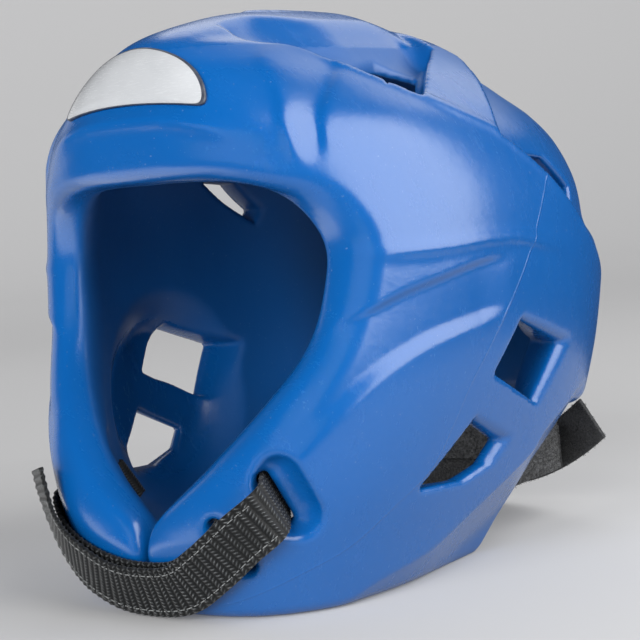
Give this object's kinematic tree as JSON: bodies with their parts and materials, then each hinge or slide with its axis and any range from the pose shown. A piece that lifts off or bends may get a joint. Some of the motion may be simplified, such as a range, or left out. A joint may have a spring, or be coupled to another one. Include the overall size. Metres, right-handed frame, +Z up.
{
  "type": "head guard",
  "caption": "Open-face moulded foam head guard for contact sports, with ear and crown vents, a bare brow badge, a webbing chin strap and hook-and-loop nape straps.",
  "frame": {"origin": "middle of the bounding box at the level of the lower rim that the guard stands on", "axes": "+Z up, the open face looks along -Y, the wearer's left is +X"},
  "size_m": [0.2004, 0.2476, 0.2205],
  "materials": {
    "foam": "satin skinned foam, blue",
    "badge": "gloss, pale silver grey",
    "webbing": "ribbed woven webbing, black",
    "hook_and_loop": "napped hook-and-loop tape, dark grey"
  },
  "bodies": {
    "root": {"shell": "foam", "forehead_badge": "badge", "chin_strap": "webbing", "nape_strap_left": "hook_and_loop", "nape_strap_right": "hook_and_loop"}
  },
  "joints": []
}
